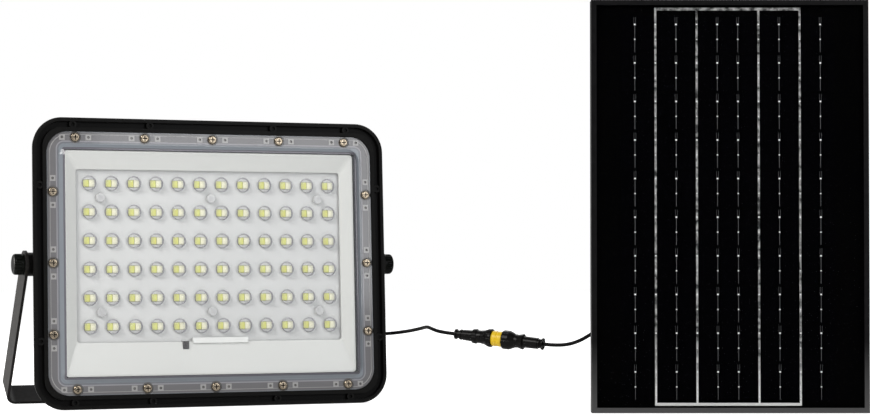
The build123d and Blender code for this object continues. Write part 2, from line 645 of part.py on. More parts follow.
def cell_ribbons():
    """Flat tinned ribbons down the cells, joined by a strip at the top and one at the bottom."""
    bottom = cell_field_bottom - bus_strip_below
    top = cell_field_bottom + cell_count * cell_pitch + bus_strip_above
    ribbons = [block(cell_field_x + line * busbar_pitch, (bottom + top) / 2, ribbon_width, top - bottom,
                     glass_back, cell_front) for line in ribbon_lines]
    reach = 2 * ribbon_lines[-1] * busbar_pitch + ribbon_width
    for level in (bottom, top):
        ribbons.append(block(cell_field_x, level, reach, bus_strip_width, glass_back, cell_front))
    return ribbons[0] + ribbons[1:]


def junction_box():
    front = lip_thick + laminate_thick
    back = front + junction_depth
    body = block(0, 0, junction_width, junction_height, front, back)
    body = fillet(body.edges().filter_by(Axis.Y), 4)
    body -= block(0, 0, junction_width - 5, junction_height - 5, front + 2, back + 1)
    posts = [post(x, z, 3.4, front + 1, back) for x in (-26, 26) for z in (-21, 21)]
    body += posts
    body = cut_all(body, [post(x, z, 1.45, front + 4, back + 1) for x in (-26, 26) for z in (-21, 21)])
    placed = Pos(junction_x - panel_mid, 0, junction_z) * body
    gland_at = (junction_gland_x - panel_mid, junction_gland_y - panel_front)
    return placed - Pos(*gland_at, junction_z - junction_height / 2) * Cylinder(4.5, 8)


def junction_lid():
    front = lip_thick + laminate_thick + junction_depth
    lid = block(0, 0, junction_width, junction_height, front, front + 2.4)
    lid = fillet(lid.edges().filter_by(Axis.Y), 4)
    lid = chamfer(lid.faces().sort_by(Axis.Y)[-1].edges(), 0.8)
    lid = cut_all(lid, [post(x, z, 1.45, front - 1, front + 4) for x in (-26, 26) for z in (-21, 21)])
    return Pos(junction_x - panel_mid, 0, junction_z) * lid


def junction_gland():
    top = junction_z - junction_height / 2
    gland = turned([(0, junction_gland_end), (2.8, junction_gland_end), (4.4, junction_gland_end + 3),
                    (6.2, junction_gland_end + 5), (6.2, top), (4.5, top), (4.5, top + 4), (0, top + 4)])
    groove = Pos(6.6, 0, junction_gland_end + 11) * Cylinder(0.8, 12)
    grooves = [Rot(0, 0, 30 * turn) * groove for turn in range(12)]
    return Pos(junction_gland_x - panel_mid, junction_gland_y - panel_front, 0) * cut_all(gland, grooves)


bar_front = panel_depth
bar_back = bar_front + bar_thick
bar_screw_x = panel_width / 2 - 6
hinge_screw_x, hinge_screw_z = 11.0, 9.0
panel_screw_places = [(side * bar_screw_x, bar_height + z) for side in (-1, 1) for z in (-7, 7)]
hinge_screw_places = [(x, bar_height + z) for x in (-hinge_screw_x, hinge_screw_x)
                      for z in (-hinge_screw_z, hinge_screw_z)]


def cross_bar():
    bar = block(0, bar_height, panel_width - 1, bar_width, bar_front, bar_back)
    return cut_all(bar, [post(x, z, 1.7, bar_front - 1, bar_back + 1)
                         for x, z in panel_screw_places + hinge_screw_places])


def drilled_rail(bar):
    return cut_all(bar, [post(x, z, 1.7, panel_depth - 3, panel_depth + 1) for x, z in panel_screw_places])


ear_gap = prop_width / 2 + side_gap
hinge_plate_thick = 2.0


def hinge_bracket():
    """Channel on the cross bar; its two ears carry the prop leg's bolt."""
    outer = ear_gap + hinge_plate_thick
    plate = block(0, bar_height, 2 * outer, 30, bar_back, bar_back + hinge_plate_thick)
    for side in (-1, 1):
        x = side * (ear_gap + hinge_plate_thick / 2)
        ear = block(x, bar_height, hinge_plate_thick, 18, bar_back, hinge_back)
        ear += cross_rod(9, side * ear_gap, side * outer, hinge_back, bar_height)
        plate += ear
    plate -= cross_rod(pivot_radius + running_gap, -40, 40, hinge_back, bar_height)
    return cut_all(plate, [post(x, z, 1.7, bar_back - 1, bar_back + 4) for x, z in hinge_screw_places])


def panel_screws():
    """Pan screws of the cross bar, the hinge bracket and the junction box lid, heads to the back."""
    back_to_front = Rot(0, 0, 180)
    bar_screw = back_to_front * pan_screw(3.2, 2.0, 1.6, 5)
    lid_screw = back_to_front * pan_screw(2.6, 1.4, 1.4, 10)
    screws = [Pos(x, bar_back, z) * bar_screw for x, z in panel_screw_places]
    screws += [Pos(x, bar_back + hinge_plate_thick, z) * back_to_front * pan_screw(3.2, 1.8, 1.6, 5)
               for x, z in hinge_screw_places]
    lid_back = lip_thick + laminate_thick + junction_depth + 2.4
    screws += [Pos(junction_x - panel_mid + x, lid_back, junction_z + z) * lid_screw
               for x in (-26, 26) for z in (-21, 21)]
    return group(screws)


def hinge_bolt():
    outer = ear_gap + hinge_plate_thick
    shank = cross_rod(pivot_radius, -outer, outer + 15, hinge_back, bar_height)
    head = Pos(-outer - 2, hinge_back, bar_height) * Rot(0, 90, 0) * extrude(RegularPolygon(5.7, 6), amount=2,
                                                                            both=True)
    return shank + head


def wing_nut():
    outer = ear_gap + hinge_plate_thick + side_gap
    nut = cross_rod(5.6, outer, outer + 3) + cross_rod(4.8, outer, outer + 8)
    for way in (-1, 1):
        nut += Pos(outer + 7.0, 0, way * wing_centre) * Rot(way * -20, 0, 0) * Box(8, 2.2, wing_height)
    nut -= cross_rod(pivot_radius + running_gap, outer - 1, outer + 20)
    return Pos(0, hinge_back, bar_height) * nut


def prop_leg():
    """Strip leg with two ears at the hinge and a flat foot, drawn hanging from the hinge axis."""
    slope = radians(prop_angle)
    web_offset = 9.0
    reach = (bar_height - foot_thick / 2 + web_offset * sin(slope)) / cos(slope)
    web_length = reach - 12 + 4
    leg = Pos(0, web_offset, -12 - web_length / 2) * Box(prop_width, prop_thick, web_length)
    for side in (-1, 1):
        inner = prop_width / 2 - prop_thick
        ear = cross_rod(8, side * inner, side * prop_width / 2)
        ear += Pos(side * (prop_width / 2 - prop_thick / 2), 4.9, -15) * Box(prop_thick, 10.2, 30)
        ear += Pos(side * (prop_width / 2 - prop_thick / 2), 1.0, -7) * Box(prop_thick, 10, 14)
        leg += ear
    leg -= cross_rod(pivot_radius + running_gap, -40, 40)
    leg = Rot(prop_angle, 0, 0) * leg
    floor_cut = Pos(0, 0, -bar_height - 20 + foot_thick / 2) * Box(200, 600, 40)
    leg -= floor_cut
    foot_y = reach * sin(slope) + web_offset * cos(slope) + 6
    foot = Pos(0, foot_y, -bar_height + foot_thick / 2) * Box(foot_width, foot_length, foot_thick)
    foot = fillet(foot.edges().filter_by(Axis.Z), 5)
    holes = [Pos(x * foot_hole_x / 2, foot_y + 1 + y * foot_hole_y / 2, -bar_height)
             * Cylinder(foot_hole_radius, 20) for x in (-1, 1) for y in (-1, 1)]
    print("foot centre y", round(foot_y + 1 + hinge_back + panel_front, 2))
    return Pos(0, hinge_back, bar_height) * ((leg + foot) - holes)


# --- assembly -------------------------------------------------------------------------------------
lamp_parts = {
    "rear_housing": rear_housing, "front_cover": front_cover, "cover_seal": cover_seal,
    "cover_screws": cover_screws, "reflector_tray": reflector_tray, "lens_plate": lens_plate,
    "lens_pegs": lens_pegs, "led_board": led_board, "heat_spreader": heat_spreader,
    "ir_receiver": ir_receiver, "level_light_bar": level_light_bar,
    "level_leds": level_leds, "battery_cells": battery_cells, "battery_holder": battery_holder,
    "control_board": control_board, "board_components": board_components,
    "spreader_hardware": spreader_hardware, "rear_gasket": rear_gasket, "rear_cover": rear_cover,
    "rear_cover_screws": rear_cover_screws, "button_bezel": button_bezel, "power_button": power_button,
    "button_switch": button_switch, "gland_body": gland_body, "gland_nut": gland_nut,
    "pivot_bolts": pivot_bolts, "pivot_washers": pivot_washers,
}
for name, make in lamp_parts.items():
    nodes[name] = lamp_place * make()
nodes["led_chips_cool"] = lamp_place * led_chips(-1)
nodes["led_chips_warm"] = lamp_place * led_chips(1)
nodes["knob_left"] = lamp_place * knob(-1)
nodes["knob_right"] = lamp_place * knob(1)
nodes["lamp_bracket"] = bracket_place * lamp_bracket()

plug_parts = {
    "plug_cable_nut": plug_cable_nut, "plug_body": plug_body, "plug_pins": plug_pins,
    "connector_seal": connector_seal, "coupling_ring": coupling_ring, "socket_body": socket_body,
    "socket_contacts": socket_contacts, "socket_cable_nut": socket_cable_nut,
}
for name, make in plug_parts.items():
    nodes[name] = plug_place * make()
nodes["lamp_lead"] = lead("lamp_lead", lamp_lead_route)
nodes["panel_lead"] = lead("panel_lead", panel_lead_route)

nodes["frame_bottom"] = panel_place * rail(panel_width)
nodes["frame_top"] = panel_place * Pos(0, 0, panel_height) * Rot(0, 180, 0) * rail(panel_width)
side_left = Pos(-panel_width / 2, 0, panel_height / 2) * Rot(0, 90, 0) * rail(panel_height)
side_right = Pos(panel_width / 2, 0, panel_height / 2) * Rot(0, -90, 0) * rail(panel_height)
nodes["frame_left"] = panel_place * drilled_rail(side_left)
nodes["frame_right"] = panel_place * drilled_rail(side_right)
nodes["panel_glass"] = panel_place * panel_sheet(lip_thick, glass_back)
nodes["backsheet"] = panel_place * panel_sheet(cell_back, lip_thick + laminate_thick)
panel_parts = {
    "corner_keys": corner_keys, "solar_cells": solar_cells, "cell_ribbons": cell_ribbons,
    "junction_box": junction_box, "junction_lid": junction_lid, "junction_gland": junction_gland,
    "cross_bar": cross_bar, "hinge_bracket": hinge_bracket, "panel_screws": panel_screws,
    "hinge_bolt": hinge_bolt, "wing_nut": wing_nut, "prop_leg": prop_leg,
}
for name, make in panel_parts.items():
    nodes[name] = panel_place * make()

os.makedirs("parts", exist_ok=True)
for name, shape in nodes.items():
    export_step(shape, f"parts/{name}.step")

on_cord = {"lamp_lead", "panel_lead", *plug_parts}
box = Compound([shape for name, shape in nodes.items() if name not in on_cord]).bounding_box()
print(len(nodes), "nodes; box", box.min, box.max)
for label, point in (("pivot", (0, pivot_back, 0)), ("gland end", (gland_end, gland_back, gland_z)),
                     ("button", (button_x, cover_back, button_z))):
    print(label, (lamp_place * Pos(*point)).position)
base_middle = (bracket_place * Pos(0, 0, -arm_length)).position
print("arm length", round(arm_length, 2), "bracket base", base_middle, "plug length", round(plug_length, 2))
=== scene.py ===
import json
from math import radians

import bmesh
import bpy
from mathutils import Matrix, Vector


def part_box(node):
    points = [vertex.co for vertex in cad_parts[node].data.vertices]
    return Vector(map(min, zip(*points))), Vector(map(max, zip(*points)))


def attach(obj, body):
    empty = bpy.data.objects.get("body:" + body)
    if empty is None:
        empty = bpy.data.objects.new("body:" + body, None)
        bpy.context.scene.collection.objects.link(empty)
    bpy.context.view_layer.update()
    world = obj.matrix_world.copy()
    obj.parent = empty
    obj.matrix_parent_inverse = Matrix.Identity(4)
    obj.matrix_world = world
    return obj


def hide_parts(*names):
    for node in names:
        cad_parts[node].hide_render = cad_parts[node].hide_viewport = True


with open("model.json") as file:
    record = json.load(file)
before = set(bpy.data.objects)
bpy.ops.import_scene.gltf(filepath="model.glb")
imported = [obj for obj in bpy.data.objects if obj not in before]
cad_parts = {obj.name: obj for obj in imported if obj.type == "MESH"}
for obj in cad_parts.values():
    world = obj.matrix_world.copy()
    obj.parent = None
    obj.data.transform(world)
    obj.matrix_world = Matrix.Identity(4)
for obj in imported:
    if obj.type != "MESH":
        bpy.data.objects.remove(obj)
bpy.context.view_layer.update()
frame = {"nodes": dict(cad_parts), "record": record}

nodes = frame["nodes"]
slotOf = {part["node"]: part["material_slot"] for part in frame["record"]["subparts"]}
scene = bpy.context.scene

# distance inwards from the face's rounded edge, in millimetres, and the tone of each moulded band, partly the
# frosted plastic's own tone and partly painted highlight and shade on its edges and bevels
coverBands = dict(corner=0.0276, reach=40, stops=[
    (8.6, (0.42, 0.42, 0.43), 0.92), (9.7, (0.20, 0.21, 0.23), 0.88), (12.9, (0.12, 0.112, 0.12), 0.86),
    (20.2, (0.29, 0.28, 0.31), 0.86), (21.3, (0.13, 0.14, 0.165), 0.86), (22.8, (0.205, 0.23, 0.265), 0.88),
    (26.0, (0.085, 0.077, 0.10), 0.90), (27.7, (0.60, 0.63, 0.65), 0.0),
], padRange=(14.7, 20.2), padFront=1.05, recessBack=1.7, padTone=(0.36, 0.35, 0.345),
    # the recess tone is painted shade at the bottom of the screw recesses
    recessTone=(0.09, 0.08, 0.075))

# where the lamp's face centre sits in the row frame, in metres and degrees
lampSeat = dict(x=-0.184, y=-0.0358, z=0.1268, yaw=22.0, lean=3.5)
lampTurn = Matrix.Rotation(radians(lampSeat["yaw"]), 4, "Z") @ Matrix.Rotation(-radians(lampSeat["lean"]), 4, "X")
lampToRow = Matrix.Translation((lampSeat["x"], lampSeat["y"], lampSeat["z"])) @ lampTurn
lampHigh = (0.1615, 0.127)    # half the face's width and height

# solar panel, read from its frame rails
panelLow = Vector(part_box("frame_left")[0])
panelHigh = Vector(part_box("frame_right")[1])
panelMidX = (panelLow.x + panelHigh.x) / 2
print("frame loaded", len(nodes), "nodes")


# camera, floor and light
cameraPlan = dict(x=0.0116, y=-2.0458, z=0.1293, lens=93.72, pitch=1.328)


def buildCamera(plan):
    data = bpy.data.cameras.new("camera")
    data.lens = plan["lens"]
    data.sensor_width = 36
    data.clip_start = 0.05
    data.clip_end = 30
    camera = bpy.data.objects.new("camera", data)
    camera.location = (plan["x"], plan["y"], plan["z"])
    camera.rotation_euler = (radians(90 + plan["pitch"]), 0, 0)
    scene.collection.objects.link(camera)
    scene.camera = camera


studio = dict(
    world=0.30,
    floorGlow=0.75,
    floorSize=14,
    floorDrop=0.0004,
    paper=(0.93, 0.93, 0.93),
    key=dict(place=(-1.3, -1.8, 1.7), aim=(-0.05, 0, 0.12), size=1.1, power=37, colour=(1, 0.985, 0.96)),
    fill=dict(place=(1.6, -1.7, 0.9), aim=(-0.1, 0, 0.15), size=1.2, power=17, colour=(0.96, 0.98, 1)),
    side=dict(place=(-1.5, 0.3, 0.35), aim=(-0.35, 0.02, 0.1), size=0.5, power=15, colour=(1, 0.97, 0.94)),
    back=dict(place=(0.2, 1.9, 1.9), aim=(0, 0, 0.1), size=1.6, power=20, colour=(1, 1, 1)),
)


def buildStudio(plan):
    bm = bmesh.new()
    bmesh.ops.create_grid(bm, x_segments=1, y_segments=1, size=plan["floorSize"] / 2)
    mesh = bpy.data.meshes.new("floor")
    bm.to_mesh(mesh)
    bm.free()
    floor = bpy.data.objects.new("floor", mesh)
    floor.data.transform(Matrix.Translation((0, 0, -plan["floorDrop"])))
    scene.collection.objects.link(floor)
    paint = bpy.data.materials.new("floorPaper")
    paint.use_nodes = True
    shader = paint.node_tree.nodes["Principled BSDF"]
    shader.inputs["Base Color"].default_value = (*plan["paper"], 1)
    shader.inputs["Roughness"].default_value = 0.9
    shader.inputs["Specular IOR Level"].default_value = 0.1
    # the paper glows to the camera alone, so it runs into the white behind without a horizon
    shader.inputs["Emission Color"].default_value = (1, 1, 1, 1)
    sight = paint.node_tree.nodes.new("ShaderNodeLightPath")
    glow = paint.node_tree.nodes.new("ShaderNodeMath")
    glow.operation = "MULTIPLY"
    glow.inputs[1].default_value = plan["floorGlow"]
    paint.node_tree.links.new(sight.outputs["Is Camera Ray"], glow.inputs[0])
    paint.node_tree.links.new(glow.outputs[0], shader.inputs["Emission Strength"])
    mesh.materials.append(paint)
    for name in ("key", "fill", "side", "back"):
        lamp = plan[name]
        light = bpy.data.lights.new(name, "AREA")
        light.shape = "SQUARE"
        light.size = lamp["size"]
        light.energy = lamp["power"]
        light.color = lamp["colour"]
        holder = bpy.data.objects.new(name, light)
        holder.location = lamp["place"]
        aim = Vector(lamp["aim"]) - Vector(lamp["place"])
        holder.rotation_euler = aim.to_track_quat("-Z", "Y").to_euler()
        scene.collection.objects.link(holder)
    world = bpy.data.worlds.new("studio")
    world.use_nodes = True
    tree = world.node_tree
    tree.nodes.clear()
    output = tree.nodes.new("ShaderNodeOutputWorld")
    seen = tree.nodes.new("ShaderNodeBackground")
    seen.inputs["Color"].default_value = (1, 1, 1, 1)
    seen.inputs["Strength"].default_value = 1.0
    lit = tree.nodes.new("ShaderNodeBackground")
    lit.inputs["Color"].default_value = (1, 1, 1, 1)
    lit.inputs["Strength"].default_value = plan["world"]
    path = tree.nodes.new("ShaderNodeLightPath")
    mix = tree.nodes.new("ShaderNodeMixShader")
    tree.links.new(path.outputs["Is Camera Ray"], mix.inputs[0])
    tree.links.new(lit.outputs[0], mix.inputs[1])
    tree.links.new(seen.outputs[0], mix.inputs[2])
    tree.links.new(mix.outputs[0], output.inputs[0])
    scene.world = world


scene.view_settings.view_transform = "Standard"    # keeps the white paper white
buildCamera(cameraPlan)
buildStudio(studio)
print("camera and studio set")


# shared shader groups
# Empty node group with float, vector or colour sockets.
def newGroup(name, inputs, outputs):
    kinds = {"value": "NodeSocketFloat", "vector": "NodeSocketVector", "colour": "NodeSocketColor"}
    group = bpy.data.node_groups.new(name, "ShaderNodeTree")
    for label, kind in inputs:
        group.interface.new_socket(label, in_out="INPUT", socket_type=kinds[kind])
    for label, kind in outputs:
        group.interface.new_socket(label, in_out="OUTPUT", socket_type=kinds[kind])
    return group, group.nodes.new("NodeGroupInput"), group.nodes.new("NodeGroupOutput")


# Math node with each input either a socket or a number.
def mathNode(tree, operation, first, second=None, clamp=False):
    node = tree.nodes.new("ShaderNodeMath")
    node.operation = operation
    node.use_clamp = clamp
    for index, value in enumerate((first, second)):
        if value is None:
            continue
        if isinstance(value, (int, float)):
            node.inputs[index].default_value = value
        else:
            tree.links.new(value, node.inputs[index])
    return node.outputs[0]


def blendColour(tree, factor, first, second):
    node = tree.nodes.new("ShaderNodeMix")
    node.data_type = "RGBA"
    tree.links.new(factor, node.inputs["Factor"])
    for place, value in ((6, first), (7, second)):    # the node's colour pair
        if isinstance(value, tuple):
            node.inputs[place].default_value = value
        else:
            tree.links.new(value, node.inputs[place])
    return node.outputs[2]


# Moulded or painted surface: broad patches and fine grain, mixed into one tone.
grainMix = dict(patchShare=0.7, grainShare=0.3, patchDetail=3, grainDetail=2)


def buildGrain(plan):
    group, source, sink = newGroup(
        "surfaceGrain",
        [("Vector", "vector"), ("Colour", "colour"), ("Shade", "colour"), ("Patch", "value"), ("Grain", "value"),
         ("Rough Low", "value"), ("Rough High", "value"), ("Contrast", "value")],
        [("Colour", "colour"), ("Roughness", "value"), ("Height", "value")])
    patch = group.nodes.new("ShaderNodeTexNoise")
    patch.inputs["Detail"].default_value = plan["patchDetail"]
    grain = group.nodes.new("ShaderNodeTexNoise")
    grain.inputs["Detail"].default_value = plan["grainDetail"]
    for texture, scale in ((patch, "Patch"), (grain, "Grain")):
        group.links.new(source.outputs["Vector"], texture.inputs["Vector"])
        group.links.new(source.outputs[scale], texture.inputs["Scale"])
    mixed = mathNode(group, "MULTIPLY_ADD", patch.outputs[0], plan["patchShare"])
    group.links.new(mathNode(group, "MULTIPLY", grain.outputs[0], plan["grainShare"]), mixed.node.inputs[2])
    centred = mathNode(group, "MULTIPLY", mathNode(group, "SUBTRACT", mixed, 0.5), source.outputs["Contrast"])
    mixed = mathNode(group, "ADD", centred, 0.5, clamp=True)
    tone = blendColour(group, mixed, source.outputs["Colour"], source.outputs["Shade"])
    spread = mathNode(group, "SUBTRACT", source.outputs["Rough High"], source.outputs["Rough Low"])
    rough = mathNode(group, "MULTIPLY_ADD", patch.outputs[0], spread)
    group.links.new(source.outputs["Rough Low"], rough.node.inputs[2])
    group.links.new(tone, sink.inputs["Colour"])
    group.links.new(rough, sink.inputs["Roughness"])
    group.links.new(grain.outputs[0], sink.inputs["Height"])
    return group


# Mask that is high on convex edges, broken up by noise.
wearEdge = dict(start=0.52, full=0.62, detail=4)


def buildWear(plan):
    group, source, sink = newGroup("edgeWear", [("Vector", "vector"), ("Scale", "value"), ("Amount", "value")],
                                   [("Mask", "value")])
    geometry = group.nodes.new("ShaderNodeNewGeometry")
    edge = group.nodes.new("ShaderNodeMapRange")
    edge.inputs["From Min"].default_value = plan["start"]
    edge.inputs["From Max"].default_value = plan["full"]
    group.links.new(geometry.outputs["Pointiness"], edge.inputs["Value"])
    noise = group.nodes.new("ShaderNodeTexNoise")
    noise.inputs["Detail"].default_value = plan["detail"]
    group.links.new(source.outputs["Vector"], noise.inputs["Vector"])
    group.links.new(source.outputs["Scale"], noise.inputs["Scale"])
    broken = mathNode(group, "MULTIPLY", edge.outputs[0], noise.outputs[0])
    group.links.new(mathNode(group, "MULTIPLY", broken, source.outputs["Amount"], clamp=True), sink.inputs["Mask"])
    return group


# Tones of the clear cover's screw band, from lamp coordinates: rings with painted highlight and shade on their
# bevels, pads, and painted shade in the screw recesses.
def buildBands(plan):
    group, source, sink = newGroup("coverBands", [("Vector", "vector")], [("Colour", "colour"), ("Mask", "value")])
    split = group.nodes.new("ShaderNodeSeparateXYZ")
    group.links.new(source.outputs["Vector"], split.inputs[0])
    across, back, up = split.outputs
    sideways = mathNode(group, "SUBTRACT", mathNode(group, "ABSOLUTE", across), lampHigh[0] - plan["corner"])
    upwards = mathNode(group, "SUBTRACT", mathNode(group, "ABSOLUTE", up), lampHigh[1] - plan["corner"])
    square = [mathNode(group, "POWER", mathNode(group, "MAXIMUM", axis, 0.0), 2.0) for axis in (sideways, upwards)]
    outside = mathNode(group, "SQRT", mathNode(group, "ADD", square[0], square[1]))
    inside = mathNode(group, "MINIMUM", mathNode(group, "MAXIMUM", sideways, upwards), 0.0)
    distance = mathNode(group, "ADD", outside, inside)
    inset = mathNode(group, "MULTIPLY", mathNode(group, "SUBTRACT", plan["corner"], distance), 1000.0)
    ramp = group.nodes.new("ShaderNodeValToRGB")
    ramp.color_ramp.interpolation = "CONSTANT"
    stops = ramp.color_ramp.elements
    for stop in plan["stops"][2:]:
        stops.new(stop[0] / plan["reach"])
    for stop, (position, tone, cover) in zip(stops, plan["stops"]):
        stop.position = position / plan["reach"]
        stop.color = (*tone, cover)
    stops[0].position = 0
    group.links.new(mathNode(group, "DIVIDE", inset, plan["reach"]), ramp.inputs[0])
    padRing = mathNode(group, "MULTIPLY", mathNode(group, "GREATER_THAN", inset, plan["padRange"][0]),
                   mathNode(group, "LESS_THAN", inset, plan["padRange"][1]))
    depth = mathNode(group, "MULTIPLY", back, 1000.0)
    pad = mathNode(group, "MULTIPLY", padRing, mathNode(group, "LESS_THAN", depth, plan["padFront"]))
    tone = blendColour(group, pad, ramp.outputs["Color"], (*plan["padTone"], 1))
    band = mathNode(group, "LESS_THAN", inset, plan["stops"][5][0])
    # painted shade: darker at the bottom of the screw recesses in the band
    recess = mathNode(group, "MULTIPLY", band, mathNode(group, "GREATER_THAN", depth, plan["recessBack"]))
    tone = blendColour(group, recess, tone, (*plan["recessTone"], 1))
    group.links.new(tone, sink.inputs["Colour"])
    group.links.new(ramp.outputs["Alpha"], sink.inputs["Mask"])
    return group


grainGroup = buildGrain(grainMix)
wearGroup = buildWear(wearEdge)
bandGroup = buildBands(coverBands)


# materials: one dictionary entry for each finish
bumpDepth = 0.0002    # metres
wearScale = 12    # worn spots across one broad patch
looks = {
    "housing": dict(colour=(0.0018, 0.0017, 0.0017), shade=(0.0045, 0.0042, 0.0041), rough=(0.30, 0.46), patch=14,
                    grain=900, bump=0.12, spec=0.06, wear=0.3, bare=(0.05, 0.05, 0.047)),
    "seal": dict(colour=(0.02, 0.02, 0.02), shade=(0.03, 0.03, 0.03), rough=(0.6, 0.8), patch=20, grain=600,
                 bump=0.1),
    "screw_steel": dict(colour=(0.44, 0.37, 0.28), shade=(0.12, 0.095, 0.07), rough=(0.14, 0.28), patch=420,
                        grain=2600, bump=0.2, metal=1.0, contrast=2.6),
    "white_tray": dict(colour=(0.745, 0.755, 0.735), shade=(0.70, 0.71, 0.69), rough=(0.3, 0.42), patch=10,
                       grain=700, bump=0.04, spec=0.4),
    "led_board": dict(colour=(0.84, 0.85, 0.84), shade=(0.80, 0.81, 0.80), rough=(0.4, 0.5), patch=30, grain=900,
                      bump=0.03),
    "phosphor_cool": dict(colour=(0.80, 0.85, 0.26), shade=(0.72, 0.70, 0.16), rough=(0.35, 0.5), patch=160,
                          grain=2600, bump=0.1, contrast=2.5),
    "phosphor_warm": dict(colour=(0.99, 0.98, 0.78), shade=(0.97, 0.94, 0.62), rough=(0.35, 0.5), patch=160,
                          grain=2600, bump=0.1),
    "aluminium_sheet": dict(colour=(0.72, 0.73, 0.74), shade=(0.60, 0.61, 0.62), rough=(0.3, 0.45), patch=40,
                            grain=1500, bump=0.1, metal=1.0),
    "brass": dict(colour=(0.72, 0.55, 0.25), shade=(0.60, 0.45, 0.20), rough=(0.2, 0.35), patch=90, grain=1800,
                  bump=0.08, metal=1.0),
    "sensor": dict(colour=(0.05, 0.05, 0.055), shade=(0.09, 0.085, 0.09), rough=(0.1, 0.2), patch=120, grain=900,
                   bump=0.02),
    "light_bar": dict(colour=(0.93, 0.94, 0.92), shade=(0.80, 0.82, 0.80), rough=(0.2, 0.35), patch=240, grain=900,
                      bump=0.05, contrast=2.0),
    "led_white": dict(colour=(0.96, 0.96, 0.86), shade=(0.9, 0.9, 0.76), rough=(0.3, 0.4), patch=300, grain=1500,
                      bump=0.05),
    "cell_wrap": dict(colour=(0.05, 0.20, 0.50), shade=(0.04, 0.16, 0.42), rough=(0.25, 0.35), patch=60, grain=900,
                      bump=0.05),
    "holder": dict(colour=(0.02, 0.02, 0.02), shade=(0.03, 0.03, 0.03), rough=(0.5, 0.6), patch=40, grain=900,
                   bump=0.15),
    "circuit_board": dict(colour=(0.01, 0.14, 0.06), shade=(0.02, 0.19, 0.08), rough=(0.25, 0.4), patch=160,
                          grain=1600, bump=0.15),
    "components": dict(colour=(0.03, 0.03, 0.03), shade=(0.05, 0.05, 0.05), rough=(0.4, 0.5), patch=150, grain=1500,
                       bump=0.1),
    "switch": dict(colour=(0.03, 0.03, 0.03), shade=(0.05, 0.05, 0.05), rough=(0.4, 0.5), patch=90, grain=900,
                   bump=0.1),
    "button": dict(colour=(0.34, 0.02, 0.015), shade=(0.26, 0.015, 0.012), rough=(0.42, 0.6), patch=120, grain=1600,
                   bump=0.15),
    "bezel": dict(colour=(0.012, 0.012, 0.012), shade=(0.02, 0.02, 0.02), rough=(0.2, 0.32), patch=90, grain=900,
                  bump=0.05),
    "gland": dict(colour=(0.003, 0.003, 0.003), shade=(0.006, 0.006, 0.006), rough=(0.36, 0.5), patch=120,
                  grain=1400, bump=0.12, spec=0.15),
    "pivot_steel": dict(colour=(0.55, 0.55, 0.54), shade=(0.42, 0.42, 0.41), rough=(0.25, 0.45), patch=90,
                        grain=1400, bump=0.1, metal=1.0),
    "bracket_paint": dict(colour=(0.0036, 0.0032, 0.0032), shade=(0.0062, 0.0056, 0.0056), rough=(0.40, 0.55),
                          patch=24, grain=1100, bump=0.2, spec=0.1, wear=0.3, bare=(0.07, 0.065, 0.062)),
    "knob": dict(colour=(0.0015, 0.0021, 0.0015), shade=(0.0032, 0.0040, 0.0029), rough=(0.22, 0.34), patch=90,
                 grain=1300, bump=0.12, spec=0.08),
    "cable": dict(colour=(0.0022, 0.0022, 0.0022), shade=(0.004, 0.004, 0.004), rough=(0.42, 0.58), patch=160,
                  grain=2200, bump=0.12, spec=0.12),
    "plug_plastic": dict(colour=(0.0024, 0.0021, 0.0020), shade=(0.0050, 0.0044, 0.0041), rough=(0.22, 0.36),
                         patch=120, grain=1700, bump=0.15, spec=0.14),
    "yellow_seal": dict(colour=(0.80, 0.49, 0.006), shade=(0.86, 0.60, 0.012), rough=(0.3, 0.45), patch=90,
                        grain=1400, bump=0.1),
    "contact": dict(colour=(0.78, 0.60, 0.28), shade=(0.66, 0.50, 0.22), rough=(0.16, 0.3), patch=200, grain=1800,
                    bump=0.05, metal=1.0),
    "panel_frame": dict(colour=(0.0026, 0.0025, 0.0026), shade=(0.0042, 0.0040, 0.0042), rough=(0.34, 0.44),
                        patch=18, grain=1800, bump=0.06, metal=0.3, spec=0.05, wear=0.05, bare=(0.2, 0.2, 0.21),
                        low=(0.085, 0.084, 0.085), lowTop=0.06),
    "corner_key": dict(colour=(0.55, 0.55, 0.56), shade=(0.45, 0.45, 0.46), rough=(0.4, 0.5), patch=60, grain=900,
                       bump=0.1, metal=1.0),
    "backsheet": dict(colour=(0.0006, 0.0006, 0.0007), shade=(0.0012, 0.0012, 0.0013), rough=(0.5, 0.6), patch=12,
                      grain=900, bump=0.05, spec=0.0),
    # the ribbons' high-contrast patches are painted glints, bright in places and dark in others, and they are
    # painted lighter towards the floor
    "ribbon": dict(colour=(0.66, 0.66, 0.65), shade=(0.030, 0.030, 0.031), rough=(0.25, 0.42), patch=190, grain=1400,
                   bump=0.3, metal=0.2, contrast=6.0, low=(1.0, 1.0, 0.99), lowTop=0.05, lowSpread=1.5),
    "junction_plastic": dict(colour=(0.012, 0.012, 0.012), shade=(0.02, 0.02, 0.02), rough=(0.42, 0.58), patch=50,
                             grain=1100, bump=0.18),
    "galvanised": dict(colour=(0.50, 0.51, 0.52), shade=(0.38, 0.39, 0.40), rough=(0.3, 0.5), patch=60, grain=1100,
                       bump=0.1, metal=1.0, wear=0.3, bare=(0.7, 0.7, 0.7)),
}


def startMaterial(name):
    material = bpy.data.materials.new(name)
    material.use_nodes = True
    tree = material.node_tree
    shader = tree.nodes["Principled BSDF"]
    place = tree.nodes.new("ShaderNodeTexCoord").outputs["Object"]
    return material, tree, shader, place


